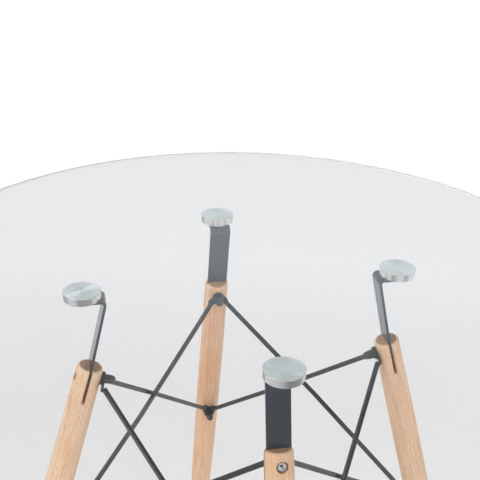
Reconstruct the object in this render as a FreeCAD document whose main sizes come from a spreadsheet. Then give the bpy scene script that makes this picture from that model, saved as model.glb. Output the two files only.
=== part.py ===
import FreeCAD, Part
import math
import os

import Sketcher
from FreeCAD import Placement, Rotation, Vector

# Round glass table on four splayed wooden legs with crossed brace rods.
# Frame: +Z up, origin on the floor under the middle of the glass, legs on the diagonals.

# Driving sizes, in millimetres and degrees
SIZES = {
    # Whole table and glass pane
    "table_height": 750.0,
    "glass_diameter": 800.0,
    "glass_thickness": 8.0,
    "glass_bevel": 1.0,
    # Discs bonded under the glass
    "bond_gap": 0.1,
    "disc_ring_radius": 175.5,
    "disc_diameter": 40.0,
    "disc_thickness": 8.5,
    "disc_bevel": 0.5,
    "disc_thread_spare": 1.0,
    # Bent flat straps between discs and legs
    "strap_width": 25.0,
    "strap_thickness": 3.0,
    "strap_bend_radius": 2.5,
    "strap_setback": 24.0,
    "strap_overhang": 12.0,
    "strap_rise": 83.5,
    "strap_run": 19.6,
    "strap_end_margin": 8.0,
    "strap_corner": 2.0,
    "strap_edge_round": 0.4,
    # Turned legs
    "leg_lean": 15.8,
    "leg_top_diameter": 29.2,
    "leg_belly_diameter": 32.6,
    "leg_belly_depth": 250.0,
    "leg_foot_diameter": 23.0,
    "leg_top_round": 4.0,
    "slot_clearance": 0.2,
    "slot_runout": 19.5,
    "slot_ridge": 1.6,
    # Socket head bolts through the legs
    "upper_bolt_depth": 14.0,
    "lower_bolt_depth": 251.0,
    "bolt_diameter": 6.0,
    "bolt_head_diameter": 10.0,
    "bolt_head_height": 6.0,
    "bolt_head_recess": 2.0,
    "bolt_socket": 5.0,
    "bolt_socket_depth": 3.0,
    "bolt_engagement": 7.5,
    "bolt_bevel": 0.7,
    "bolt_hole_clearance": 0.6,
    "counterbore_clearance": 2.0,
    "thread_clearance": 0.1,
    # Cap nuts on the inner ends of the bolts
    "nut_flats": 10.0,
    "nut_hex_height": 6.0,
    "nut_height": 13.0,
    "nut_dome_diameter": 9.4,
    "nut_thread_spare": 1.0,
    "nut_bevel_angle": 30.0,
    # Brace rods with flattened eyes
    "rod_diameter": 6.0,
    "rod_gap": 0.4,
    "eye_diameter": 15.0,
    "eye_thickness": 2.0,
    "eye_reach": 12.0,
    "eye_tip_margin": 1.0,
    "eye_seat_depth": 0.1,
    "eye_seat_margin": 8.5,
    # Short screws that hold the straps to the discs
    "screw_head_diameter": 10.5,
    "screw_head_height": 3.3,
    "screw_socket": 4.0,
    "screw_socket_depth": 2.0,
    "screw_engagement": 5.0,
    # Foot glides and their nails
    "glide_inset": 0.8,
    "glide_thickness": 5.0,
    "glide_round": 1.5,
    "nail_diameter": 2.8,
    "nail_head_diameter": 7.0,
    "nail_head_height": 1.2,
    "nail_recess": 1.0,
    "nail_depth": 18.0,
    "nail_clearance": 0.2,
    "nail_point": 3.0,
    # Extra length of every cutting tool past the stock
    "overrun": 5.0,
}

# Legs by name, with the direction that each one stands in
LEGS = {"back_right": 45.0, "back_left": 135.0, "front_left": 225.0, "front_right": 315.0}

# Sides by name, with the turn from the front side
SIDES = {"front": 0.0, "right": 90.0, "back": 180.0, "left": 270.0}

HALF_SHARE = 0.5
DIAGONAL_SHARE = math.sqrt(HALF_SHARE)
HEX_SIDES = 6
BARREL_STEPS = 12
SEARCH_STEPS = 60
TOLERANCE = 1e-4

# Order of the two eyes on a bolt, counted from the leg
OUTER_LAYER = 0
INNER_LAYER = 1

doc = FreeCAD.newDocument("round_glass_table")
sheet = doc.addObject("Spreadsheet::Sheet", "Sizes")
for row, (alias, value) in enumerate(SIZES.items(), start=1):
    sheet.set(f"A{row}", alias)
    sheet.set(f"B{row}", str(value))
    sheet.setAlias(f"B{row}", alias)
doc.recompute()

parts = []


class Size:
    """A number together with the sheet formula that gives it."""

    def __init__(self, number, formula):
        self.number = number
        self.formula = formula

    def __add__(self, other):
        other = as_size(other)
        return Size(self.number + other.number, f"({self.formula} + {other.formula})")

    def __sub__(self, other):
        other = as_size(other)
        return Size(self.number - other.number, f"({self.formula} - {other.formula})")

    def __mul__(self, other):
        other = as_size(other)
        return Size(self.number * other.number, f"({self.formula} * {other.formula})")

    def __truediv__(self, other):
        other = as_size(other)
        return Size(self.number / other.number, f"({self.formula} / {other.formula})")

    def __neg__(self):
        return Size(-self.number, f"(0 - {self.formula})")


def as_size(value):
    """Wrap a plain number, or return a size as it is."""
    if isinstance(value, Size):
        return value
    return Size(float(value), repr(float(value)))


def size(alias):
    """Read one driving size from the sheet."""
    return Size(float(sheet.get(alias)), f"Sizes.{alias}")


def sine(angle):
    return Size(math.sin(math.radians(angle.number)), f"sin({angle.formula})")


def cosine(angle):
    return Size(math.cos(math.radians(angle.number)), f"cos({angle.formula})")


def tangent(angle):
    return Size(math.tan(math.radians(angle.number)), f"tan({angle.formula})")


def root(value):
    return Size(math.sqrt(value.number), f"sqrt({value.formula})")


ZERO = as_size(0)


def half(value):
    return value / 2


def bind(feature, name, value):
    """Tie one property of a feature to the sheet."""
    feature.setExpression(name, as_size(value).formula)


def new_body(label):
    body = doc.addObject("PartDesign::Body", label)
    body.Label = label
    return body


def origin_plane(body, role):
    """Find one of the body's own origin planes."""
    return next(plane for plane in body.Origin.OriginFeatures if plane.Role == role)


def origin_axis(body, role):
    """Find one of the body's own origin axes."""
    return next(axis for axis in body.Origin.OriginFeatures if axis.Role == role)


class Outline:
    """A sketch on an origin plane whose corners are bound to the sheet."""

    def __init__(self, body, name, role, offset=None):
        self.sketch = body.newObject("Sketcher::SketchObject", name)
        self.sketch.AttachmentSupport = [(origin_plane(body, role), "")]
        self.sketch.MapMode = "FlatFace"
        if offset is not None:
            self.sketch.AttachmentOffset = offset

    def hold(self, kind, geometry, end, value):
        """Fix one coordinate of a point."""
        axis = {"DistanceX": -2, "DistanceY": -1}[kind]
        if value is ZERO:
            self.sketch.addConstraint(Sketcher.Constraint("PointOnObject", geometry, end, axis))
            return
        rule = Sketcher.Constraint(kind, -1, 1, geometry, end, value.number)
        index = self.sketch.addConstraint(rule)
        bind(self.sketch, f"Constraints[{index}]", value)

    def hold_point(self, geometry, end, x, y):
        self.hold("DistanceX", geometry, end, x)
        self.hold("DistanceY", geometry, end, y)

    def end_near(self, geometry, point):
        """Say which end of an edge lies at a point."""
        first = self.sketch.getPoint(geometry, 1).distanceToPoint(point)
        second = self.sketch.getPoint(geometry, 2).distanceToPoint(point)
        return 1 if first < second else 2

    def loop(self, corners):
        """Draw a closed loop. A corner is (x, y), or (x, y, via_x, via_y) where an arc follows it."""
        points = [Vector(corner[0].number, corner[1].number, 0) for corner in corners]
        edges = []
        for index, corner in enumerate(corners):
            start = points[index]
            end = points[(index + 1) % len(points)]
            if len(corner) == 2:
                curve = Part.LineSegment(start, end)
            else:
                curve = Part.Arc(start, Vector(corner[2].number, corner[3].number, 0), end)
            edges.append(self.sketch.addGeometry(curve, False))
        for index, corner in enumerate(corners):
            edge = edges[index]
            before = edges[index - 1]
            point = points[index]
            first = self.end_near(edge, point)
            last = self.end_near(before, point)
            self.sketch.addConstraint(Sketcher.Constraint("Coincident", before, last, edge, first))
            self.hold_point(edge, first, corner[0], corner[1])
            if len(corner) > 2:
                self.hold_via(edge, corner[2], corner[3])
        return self.sketch

    def line(self, start, end):
        """Draw one open line."""
        first, last = (Vector(x.number, y.number, 0) for x, y in (start, end))
        edge = self.sketch.addGeometry(Part.LineSegment(first, last), False)
        self.hold_point(edge, 1, *start)
        self.hold_point(edge, 2, *end)

    def hold_via(self, edge, x, y):
        """Make an arc pass through a point."""
        marker = self.sketch.addGeometry(Part.Point(Vector(x.number, y.number, 0)), True)
        self.hold_point(marker, 1, x, y)
        self.sketch.addConstraint(Sketcher.Constraint("PointOnObject", marker, 1, edge))

    def circle(self, x, y, diameter):
        """Draw a full circle."""
        centre = Vector(x.number, y.number, 0)
        curve = Part.Circle(centre, Vector(0, 0, 1), half(diameter).number)
        edge = self.sketch.addGeometry(curve, False)
        self.hold_point(edge, 3, x, y)
        index = self.sketch.addConstraint(Sketcher.Constraint("Diameter", edge, diameter.number))
        bind(self.sketch, f"Constraints[{index}]", diameter)
        return self.sketch

    def hexagon(self, flats):
        """Draw a hexagon about the origin with two flats along X."""
        corner_radius = flats / math.sqrt(3)
        corners = []
        for index in range(HEX_SIDES):
            angle = 2 * math.pi * index / HEX_SIDES
            x = corner_radius * round(math.cos(angle), 15)
            y = corner_radius * round(math.sin(angle), 15)
            corners.append((x, y))
        return self.loop(corners)


def pad(body, name, sketch, length, side_type="One side"):
    feature = body.newObject("PartDesign::Pad", name)
    feature.Profile = sketch
    feature.SideType = side_type
    bind(feature, "Length", length)
    return feature


def revolve(body, name, sketch):
    """Turn a profile on the XZ plane about the body's Z axis."""
    feature = body.newObject("PartDesign::Revolution", name)
    feature.Profile = sketch
    feature.ReferenceAxis = (origin_axis(body, "Z_Axis"), [""])
    return feature


def cut(body, name, sketch, length, side_type="One side", backwards=False):
    """Cut a sketch out of the body and make sure that material goes."""
    doc.recompute()
    before = body.Shape.Volume
    feature = body.newObject("PartDesign::Pocket", name)
    feature.Profile = sketch
    feature.SideType = side_type
    feature.Reversed = backwards
    bind(feature, "Length", length)
    check_removed(body, name, before)
    return feature


def cut_round(body, name, place, diameter, depth):
    """Cut a round hole along the Z axis of a place in the body."""
    doc.recompute()
    before = body.Shape.Volume
    feature = body.newObject("PartDesign::SubtractiveCylinder", name)
    feature.AttachmentSupport = [(origin_plane(body, "XY_Plane"), "")]
    feature.MapMode = "FlatFace"
    feature.AttachmentOffset = place
    bind(feature, "Radius", half(diameter))
    bind(feature, "Height", depth)
    check_removed(body, name, before)
    return feature


def cut_turned(body, name, sketch):
    """Turn a profile on the XZ plane off the body, about its Z axis."""
    doc.recompute()
    before = body.Shape.Volume
    feature = body.newObject("PartDesign::Groove", name)
    feature.Profile = sketch
    feature.ReferenceAxis = (origin_axis(body, "Z_Axis"), [""])
    check_removed(body, name, before)
    return feature


def check_removed(body, name, before):
    doc.recompute()
    if body.Shape.Volume >= before:
        raise RuntimeError(f"{body.Label}: {name} removes nothing")


def edges_where(body, test):
    """Name the edges of a body that pass a test."""
    doc.recompute()
    return [f"Edge{index}" for index, edge in enumerate(body.Shape.Edges, start=1) if test(edge)]


def dress(body, kind, name, test, value):
    """Bevel or round the edges that pass a test."""
    names = edges_where(body, test)
    if not names:
        raise RuntimeError(f"{body.Label}: {name} finds no edge")
    base = body.Tip
    feature = body.newObject(f"PartDesign::{kind}", name)
    feature.Base = (base, names)
    bind(feature, {"Chamfer": "Size", "Fillet": "Radius"}[kind], value)
    return feature


def is_circle(edge, diameter):
    """Say whether an edge is a full circle of this diameter."""
    round_edge = isinstance(edge.Curve, Part.Circle) and edge.isClosed()
    return round_edge and abs(2 * edge.Curve.Radius - diameter.number) < TOLERANCE


def finish(piece, solids=1):
    """Keep a piece for export, with the number of solids that it must have."""
    parts.append((piece, solids))


def group(label, members):
    """Put identical fasteners in one node as separate solids."""
    compound = doc.addObject("Part::Compound", label)
    compound.Label = label
    compound.Links = members
    finish(compound, len(members))


# Heights and radii that the pieces share
lean = size("leg_lean")
glass_under = size("table_height") - size("glass_thickness")
disc_under = glass_under - size("bond_gap") - size("disc_thickness")
tab_middle = disc_under - half(size("strap_thickness"))
leg_top_height = tab_middle - size("strap_rise")
leg_top_radius = size("disc_ring_radius") - size("strap_setback") + size("strap_run")
leg_length = (leg_top_height - size("glide_thickness")) / cosine(lean)
foot_radius = leg_top_radius + leg_length * sine(lean)
strap_insert = size("upper_bolt_depth") + size("strap_end_margin")
slot_outside = half(size("strap_thickness"))
slot_inside = slot_outside + size("slot_clearance")
slot_depth = strap_insert + size("slot_runout")
bolt_hole = size("bolt_diameter") + size("bolt_hole_clearance")
thread_hole = size("bolt_diameter") + size("thread_clearance")
counterbore = size("bolt_head_diameter") + size("counterbore_clearance")
eye_seat_diameter = size("eye_diameter") + size("eye_seat_margin") * 2
glide_diameter = size("leg_foot_diameter") - size("glide_inset") * 2

# Cross bolts of a leg: name, depth below the leg's top, radius of the leg there
BOLTS = (
    ("upper", size("upper_bolt_depth"), half(size("leg_top_diameter"))),
    ("lower", size("lower_bolt_depth"), half(size("leg_belly_diameter"))),
)


def head_seat(leg_radius):
    """Distance from the leg's axis to the seat of the bolt's head."""
    return leg_radius - size("bolt_head_height") - size("bolt_head_recess")


def eye_seat(leg_radius):
    """Distance from the leg's axis to the flat that the eyes lie on."""
    return leg_radius - size("eye_seat_depth")


def radial_place(azimuth, radius, height):
    """Place a piece at a radius, with its X axis pointing outwards."""
    turn = Rotation(Vector(0, 0, 1), azimuth)
    return Placement(turn.multVec(Vector(radius.number, 0, height.number)), turn)


def leg_place(azimuth):
    """Frame of a leg: origin at its top, Z up along its axis, X outwards."""
    tilt = Placement(Vector(), Rotation(Vector(0, 1, 0), -lean.number))
    return radial_place(azimuth, leg_top_radius, leg_top_height).multiply(tilt)


def make_glass():
    body = new_body("glass_top")
    pane = Outline(body, "pane_outline", "XY_Plane").circle(ZERO, ZERO, size("glass_diameter"))
    pad(body, "pane", pane, size("glass_thickness"))
    dress(body, "Chamfer", "polished_edge", lambda edge: is_circle(edge, size("glass_diameter")),
          size("glass_bevel"))
    bind(body, "Placement.Base.z", glass_under)
    finish(body)


def make_disc(name, azimuth):
    body = new_body(f"disc_{name}")
    blank = Outline(body, "disc_outline", "XY_Plane").circle(ZERO, ZERO, size("disc_diameter"))
    pad(body, "disc", blank, size("disc_thickness"))
    dress(body, "Chamfer", "disc_edges", lambda edge: is_circle(edge, size("disc_diameter")),
          size("disc_bevel"))
    thread = Outline(body, "thread_outline", "XY_Plane").circle(ZERO, ZERO, thread_hole)
    depth = size("screw_engagement") + size("disc_thread_spare")
    cut(body, "thread_hole", thread, depth, backwards=True)
    body.Placement = radial_place(azimuth, size("disc_ring_radius"), disc_under)
    finish(body)


def strap_outline(body):
    """Side view of the bar about the meeting point of its tab and its stem, with the blade set to the leg."""
    half_bar = half(size("strap_thickness"))
    inner = size("strap_bend_radius")
    outer = inner + size("strap_thickness")
    middle = inner + half_bar
    tab_end = size("strap_setback") + size("strap_overhang")
    # Outward normals of the stem and of the blade in the leg
    stem = root(size("strap_run") * size("strap_run") + size("strap_rise") * size("strap_rise"))
    stem_x = size("strap_rise") / stem
    stem_z = size("strap_run") / stem
    blade_x = cosine(lean)
    blade_z = sine(lean)
    # Step across the bar at the set, where stem and blade meet
    likeness = stem_x * blade_x + stem_z * blade_z + 1
    set_x = (stem_x + blade_x) / likeness
    set_z = (stem_z + blade_z) / likeness
    # Centre of the bend, at the middle radius from both middle lines, and the way to its middle
    centre_x = middle * (stem_z + 1) / stem_x
    centre_z = -middle
    facing = root(stem_x * stem_x + (stem_z - 1) * (stem_z - 1))
    via_x = -stem_x / facing
    via_z = -(stem_z - 1) / facing

    def set_point(across):
        return (size("strap_run") + set_x * across, set_z * across - size("strap_rise"))

    def blade_end(across):
        end_x = size("strap_run") + blade_z * strap_insert
        end_z = -size("strap_rise") - blade_x * strap_insert
        return (end_x + blade_x * across, end_z + blade_z * across)

    def bend_point(radius, x, z):
        return (centre_x + x * radius, centre_z + z * radius)

    outline = Outline(body, "bar_outline", "XZ_Plane")
    return outline.loop([
        (tab_end, -half_bar),
        (tab_end, half_bar),
        (centre_x, half_bar) + bend_point(outer, via_x, via_z),
        bend_point(outer, -stem_x, -stem_z),
        set_point(-half_bar),
        blade_end(-half_bar),
        blade_end(half_bar),
        set_point(half_bar),
        bend_point(inner, -stem_x, -stem_z) + bend_point(inner, via_x, via_z),
        (centre_x, -half_bar),
    ])


def make_strap(name, azimuth):
    body = new_body(f"strap_{name}")
    pad(body, "bar", strap_outline(body), size("strap_width"), "Symmetric")
    hole = Outline(body, "screw_outline", "XY_Plane").circle(size("strap_setback"), ZERO, bolt_hole)
    cut(body, "screw_hole", hole, size("strap_thickness") + size("overrun"), "Symmetric")
    drill = size("strap_thickness") + size("overrun") * 2
    leg_top = Placement(Vector(size("strap_run").number, 0, -size("strap_rise").number),
                        Rotation(Vector(0, 1, 0), -lean.number))
    start = Placement(Vector(-half(drill).number, 0, -size("upper_bolt_depth").number),
                      Rotation(Vector(0, 1, 0), 90))
    cut_round(body, "bolt_hole", leg_top.multiply(start), bolt_hole, drill)

    def is_corner(edge):
        straight = isinstance(edge.Curve, Part.Line)
        short = abs(edge.Length - size("strap_thickness").number) < TOLERANCE
        return straight and short

    def is_long_edge(edge):
        side = half(size("strap_width")).number
        return all(abs(abs(vertex.Y) - side) < TOLERANCE for vertex in edge.Vertexes)

    dress(body, "Fillet", "corners", is_corner, size("strap_corner"))
    dress(body, "Fillet", "long_edges", is_long_edge, size("strap_edge_round"))
    bend_radius = size("disc_ring_radius") - size("strap_setback")
    body.Placement = radial_place(azimuth, bend_radius, tab_middle)
    finish(body)


def leg_outline(body):
    """Half section of the turned blank, whose long side follows a parabola in short straight steps."""
    top = half(size("leg_top_diameter"))
    belly = half(size("leg_belly_diameter"))
    foot = half(size("leg_foot_diameter"))
    edge = size("leg_top_round")
    middle = size("leg_belly_depth")
    spare = leg_length + size("leg_foot_diameter") * tangent(lean)
    via_in = edge * (1 - DIAGONAL_SHARE)
    # Slopes of the parabola through the top, the belly and the foot
    first_slope = (belly - top) / (middle - edge)
    last_slope = (foot - belly) / (spare - middle)
    bend = (last_slope - first_slope) / (spare - edge)
    corners = [(ZERO, ZERO), (top - edge, ZERO, top - via_in, -via_in), (top, -edge)]
    for step in range(1, BARREL_STEPS):
        depth = edge + (spare - edge) * (step / BARREL_STEPS)
        radius = top + (depth - edge) * (first_slope + bend * (depth - middle))
        corners.append((radius, -depth))
    corners += [(foot, -spare), (ZERO, -spare)]
    return Outline(body, "leg_outline", "XZ_Plane").loop(corners)


def make_leg(name, azimuth):
    body = new_body(f"leg_{name}")
    revolve(body, "turned_blank", leg_outline(body))
    width = size("leg_belly_diameter") + size("overrun")

    # Foot sawn level with the floor
    drop = width * tangent(lean)
    level = Outline(body, "foot_cut_outline", "XZ_Plane").loop([
        (-width, -leg_length + drop),
        (width, -leg_length - drop),
        (width, -leg_length - drop - size("overrun")),
        (-width, -leg_length - drop - size("overrun")),
    ])
    cut(body, "foot_cut", level, width, "Symmetric")

    # Slot whose outer wall the strap is clamped to, with the ridge that the saw leaves at its end
    slot = Outline(body, "slot_outline", "XZ_Plane").loop([
        (-slot_inside, size("overrun")),
        (-slot_inside, -slot_depth),
        (half(slot_outside - slot_inside), size("slot_ridge") - slot_depth),
        (slot_outside, -slot_depth),
        (slot_outside, size("overrun")),
    ])
    cut(body, "strap_slot", slot, width, "Symmetric")

    # Cross holes, each with a counterbore outside and a flat seat inside
    for bolt, depth, radius in BOLTS:
        hole = Outline(body, f"{bolt}_hole_outline", "YZ_Plane").circle(ZERO, -depth, bolt_hole)
        cut(body, f"{bolt}_hole", hole, width, "Symmetric")
        outside = Placement(Vector(0, 0, head_seat(radius).number), Rotation())
        bore = Outline(body, f"{bolt}_counterbore_outline", "YZ_Plane", outside)
        bore.circle(ZERO, -depth, counterbore)
        cut(body, f"{bolt}_counterbore", bore.sketch, width, backwards=True)
        inside = Placement(Vector(0, 0, -eye_seat(radius).number), Rotation())
        seat = Outline(body, f"{bolt}_seat_outline", "YZ_Plane", inside)
        seat.circle(ZERO, -depth, eye_seat_diameter)
        cut(body, f"{bolt}_seat", seat.sketch, width)

    # Upright hole for the glide's nail
    foot = Placement(Vector(0, 0, -leg_length.number), Rotation(Vector(0, 1, 0), lean.number))
    below = Placement(Vector(0, 0, -size("overrun").number), Rotation())
    nail_hole = size("nail_diameter") + size("nail_clearance")
    cut_round(body, "nail_hole", foot.multiply(below), nail_hole, size("nail_depth") + size("overrun"))
    body.Placement = leg_place(azimuth)
    finish(body)


def socket_screw(label, head_diameter, head_height, socket, socket_depth, length):
    """Screw with a round head above its seat at the origin and a plain shank below."""
    body = new_body(label)
    head = half(head_diameter)
    shank = half(size("bolt_diameter"))
    bevel = size("bolt_bevel")
    profile = Outline(body, "screw_outline", "XZ_Plane").loop([
        (ZERO, -length),
        (shank - bevel, -length),
        (shank, bevel - length),
        (shank, ZERO),
        (head, ZERO),
        (head, head_height - bevel),
        (head - bevel, head_height),
        (ZERO, head_height),
    ])
    revolve(body, "screw", profile)
    above = Placement(Vector(0, 0, head_height.number), Rotation())
    key = Outline(body, "socket_outline", "XY_Plane", above).hexagon(socket)
    cut(body, "socket", key, socket_depth)
    return body


def bolt_length(radius):
    """Length under the head: through the leg and both eyes and into the nut."""
    grip = head_seat(radius) + eye_seat(radius) + size("eye_thickness") * 2
    return grip + size("bolt_engagement")


def make_bolts(bolt, depth, radius):
    members = []
    for name, azimuth in LEGS.items():
        body = socket_screw(f"bolt_{bolt}_{name}", size("bolt_head_diameter"), size("bolt_head_height"),
                            size("bolt_socket"), size("bolt_socket_depth"), bolt_length(radius))
        outwards = Rotation(Vector(0, 1, 0), 90)
        place = Placement(Vector(head_seat(radius).number, 0, -depth.number), outwards)
        body.Placement = leg_place(azimuth).multiply(place)
        members.append(body)
    group(f"leg_bolts_{bolt}", members)


def make_disc_screws():
    members = []
    for name, azimuth in LEGS.items():
        length = size("strap_thickness") + size("screw_engagement")
        body = socket_screw(f"disc_screw_{name}", size("screw_head_diameter"), size("screw_head_height"),
                            size("screw_socket"), size("screw_socket_depth"), length)
        place = radial_place(azimuth, size("disc_ring_radius"), disc_under - size("strap_thickness"))
        upside_down = Placement(Vector(), Rotation(Vector(1, 0, 0), 180))
        body.Placement = place.multiply(upside_down)
        members.append(body)
    group("disc_screws", members)


def cap_nut(label):
    """Hexagon with a dome, seated at the origin with its dome along Z."""
    body = new_body(label)
    base = Outline(body, "hex_outline", "XY_Plane").hexagon(size("nut_flats"))
    pad(body, "hexagon", base, size("nut_hex_height"))
    dome = half(size("nut_dome_diameter"))
    shoulder = size("nut_height") - dome
    side = dome * DIAGONAL_SHARE
    profile = Outline(body, "dome_outline", "XZ_Plane").loop([
        (ZERO, half(size("nut_hex_height"))),
        (dome, half(size("nut_hex_height"))),
        (dome, shoulder, side, shoulder + side),
        (ZERO, size("nut_height")),
    ])
    revolve(body, "dome", profile)

    # Corners of the hexagon turned off at the dome's end
    flat = half(size("nut_flats"))
    drop = size("nut_flats") * tangent(size("nut_bevel_angle"))
    turned = Outline(body, "corner_outline", "XZ_Plane").loop([
        (flat, size("nut_hex_height")),
        (flat + size("nut_flats"), size("nut_hex_height") - drop),
        (flat + size("nut_flats"), size("nut_hex_height")),
    ])
    cut_turned(body, "turned_corners", turned)

    thread = Outline(body, "thread_outline", "XY_Plane").circle(ZERO, ZERO, thread_hole)
    cut(body, "thread_hole", thread, size("bolt_engagement") + size("nut_thread_spare"), backwards=True)
    return body


def make_nuts(bolt, depth, radius):
    members = []
    for name, azimuth in LEGS.items():
        body = cap_nut(f"cap_nut_{bolt}_{name}")
        inwards = Rotation(Vector(0, 1, 0), -90)
        stack = eye_seat(radius) + size("eye_thickness") * 2
        place = Placement(Vector(-stack.number, 0, -depth.number), inwards)
        body.Placement = leg_place(azimuth).multiply(place)
        members.append(body)
    group(f"cap_nuts_{bolt}", members)


class EyeEnd:
    """One end of a brace rod: the frame of its eye on a leg and the height of the rod over it."""

    def __init__(self, leg, depth, radius, layer):
        inwards = Rotation(Vector(0, 1, 0), -90)
        seat = Vector(-eye_seat(radius).number, 0, -depth.number)
        frame = leg_place(LEGS[leg]).multiply(Placement(seat, inwards))
        thickness = size("eye_thickness").number
        underside = thickness * layer
        self.normal = frame.Rotation.multVec(Vector(0, 0, 1))
        self.eye = frame.multVec(Vector(0, 0, underside + thickness * HALF_SHARE))
        self.root = frame.multVec(Vector(0, 0, underside + half(size("rod_diameter")).number))

    def bend(self, direction):
        """Point where the rod leaves its eye, and the direction of the eye."""
        flat = direction - self.normal * direction.dot(self.normal)
        flat.normalize()
        return self.root + flat * size("eye_reach").number, flat


class Brace:
    """Run of one rod between the bends at its two eyes."""

    def __init__(self, top_leg, foot_leg, layer):
        (_, top_depth, top_radius), (_, foot_depth, foot_radius) = BOLTS
        self.ends = (EyeEnd(top_leg, top_depth, top_radius, layer),
                     EyeEnd(foot_leg, foot_depth, foot_radius, layer))
        self.points = [self.ends[0].root, self.ends[1].root]
        self.flats = [None, None]
        for _ in range(SEARCH_STEPS):
            direction = self.run()
            direction.normalize()
            self.points[0], self.flats[0] = self.ends[0].bend(direction)
            self.points[1], self.flats[1] = self.ends[1].bend(direction * -1)

    def run(self):
        return self.points[1] - self.points[0]

    def sprung_middle(self, other):
        """Middle of the rod, sprung away from the rod that it crosses until both clear."""
        across = self.run().cross(other.run())
        across.normalize()
        between = self.points[0] - other.points[0]
        gap = between.dot(across)
        away = across if gap > 0 else across * -1
        # Share of the run at which the rods cross, and of the bow that they have there
        square = other.run().cross(across)
        crossing_share = -between.dot(square) / self.run().dot(square)
        bow_share = 1 - abs(2 * crossing_share - 1)
        wanted = size("rod_diameter").number + size("rod_gap").number
        bow = (wanted - abs(gap)) * HALF_SHARE / bow_share
        return (self.points[0] + self.points[1]) * HALF_SHARE + away * bow


def add_eye(body, name, end, flat):
    """Flat drop-shaped eye about the bolt, pointing towards the rod."""
    turn = Rotation(flat, end.normal.cross(flat), end.normal, "ZXY")
    eye = half(size("eye_diameter"))
    tip = half(size("rod_diameter")) + size("eye_tip_margin")
    reach = size("eye_reach")
    taper = (eye - tip) / reach
    square = root(as_size(1) - taper * taper)
    outline = Outline(body, f"{name}_outline", "XY_Plane", Placement(end.eye, turn))
    outline.loop([
        (eye * taper, eye * square, -eye, ZERO),
        (eye * taper, -eye * square),
        (reach + tip * taper, -tip * square, reach + tip, ZERO),
        (reach + tip * taper, tip * square),
    ])
    outline.circle(ZERO, ZERO, bolt_hole)
    pad(body, name, outline.sketch, size("eye_thickness"), "Symmetric")


def add_rod(body, brace, middle):
    """Round rod in two straight halves that meet at a slight angle where it is sprung."""
    start, end = brace.points
    chord = end - start
    bow = middle - (start + end) * HALF_SHARE
    plane = Placement(start, Rotation(chord, bow, chord.cross(bow), "XYZ"))
    path = Outline(body, "rod_path", "XY_Plane", plane)
    crest = (as_size(chord.Length * HALF_SHARE), as_size(bow.Length))
    path.line((ZERO, ZERO), crest)
    path.line(crest, (as_size(chord.Length), ZERO))
    across = Placement(start, Rotation(Vector(0, 0, 1), middle - start))
    section = Outline(body, "rod_outline", "XY_Plane", across)
    section.circle(ZERO, ZERO, size("rod_diameter"))
    rod = body.newObject("PartDesign::AdditivePipe", "rod")
    rod.Profile = section.sketch
    rod.Spine = (path.sketch, ["Edge1", "Edge2"])
    rod.Transition = "Right corner"


def make_brace(label, brace, other, turn):
    body = new_body(label)
    add_rod(body, brace, brace.sprung_middle(other))
    for name, end, flat in zip(("top_eye", "foot_eye"), brace.ends, brace.flats):
        add_eye(body, name, end, flat)
    body.Placement = Placement(Vector(), Rotation(Vector(0, 0, 1), turn))
    finish(body)


def make_braces():
    """Crossed pair of rods on every side, worked out on the front side."""
    inner = Brace("front_left", "front_right", INNER_LAYER)
    outer = Brace("front_right", "front_left", OUTER_LAYER)
    for side, turn in SIDES.items():
        make_brace(f"brace_{side}_inner", inner, outer, turn)
        make_brace(f"brace_{side}_outer", outer, inner, turn)


def make_glide(name, azimuth):
    """Glide under the foot, with a recess for the head of its nail."""
    body = new_body(f"foot_glide_{name}")
    rim = half(glide_diameter)
    edge = size("glide_round")
    via_in = edge * (1 - DIAGONAL_SHARE)
    hole = half(size("nail_diameter") + size("nail_clearance"))
    recess = half(size("nail_head_diameter") + size("nail_clearance"))
    depth = size("nail_head_height") + size("nail_recess")
    profile = Outline(body, "glide_outline", "XZ_Plane").loop([
        (hole, size("glide_thickness")),
        (hole, depth),
        (recess, depth),
        (recess, ZERO),
        (rim - edge, ZERO, rim - via_in, via_in),
        (rim, edge),
        (rim, size("glide_thickness")),
    ])
    revolve(body, "glide", profile)
    body.Placement = radial_place(azimuth, foot_radius, ZERO)
    finish(body)


def make_nails():
    members = []
    for name, azimuth in LEGS.items():
        body = new_body(f"glide_nail_{name}")
        head = half(size("nail_head_diameter"))
        shank = half(size("nail_diameter"))
        seat = size("nail_head_height") + size("nail_recess")
        tip = size("glide_thickness") + size("nail_depth") - size("nail_point")
        profile = Outline(body, "nail_outline", "XZ_Plane").loop([
            (ZERO, size("nail_recess")),
            (head, size("nail_recess")),
            (head, seat),
            (shank, seat),
            (shank, tip),
            (ZERO, tip + size("nail_point")),
        ])
        revolve(body, "nail", profile)
        body.Placement = radial_place(azimuth, foot_radius, ZERO)
        members.append(body)
    group("glide_nails", members)


make_glass()
for leg, direction in LEGS.items():
    make_disc(leg, direction)
    make_strap(leg, direction)
    make_leg(leg, direction)
    make_glide(leg, direction)
for bolt_name, bolt_depth, leg_radius in BOLTS:
    make_bolts(bolt_name, bolt_depth, leg_radius)
    make_nuts(bolt_name, bolt_depth, leg_radius)
make_disc_screws()
make_nails()
make_braces()
doc.recompute()

for item in doc.Objects:
    if "Invalid" in item.State or "Error" in item.State:
        raise RuntimeError(f"{item.Label} failed: {item.State}")
for piece, solids in parts:
    if piece.Shape.isNull() or not piece.Shape.isValid():
        raise RuntimeError(f"{piece.Label} has no valid shape")
    if len(piece.Shape.Solids) != solids:
        raise RuntimeError(f"{piece.Label} has {len(piece.Shape.Solids)} solids instead of {solids}")

os.makedirs("parts", exist_ok=True)
for piece, solids in parts:
    piece.Shape.exportStep(os.path.join("parts", f"{piece.Label}.step"))
    print(piece.Label, solids, "solids", round(piece.Shape.Volume), "mm3")
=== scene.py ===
"""Looks of a round glass table on four splayed wooden legs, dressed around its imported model."""

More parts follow.
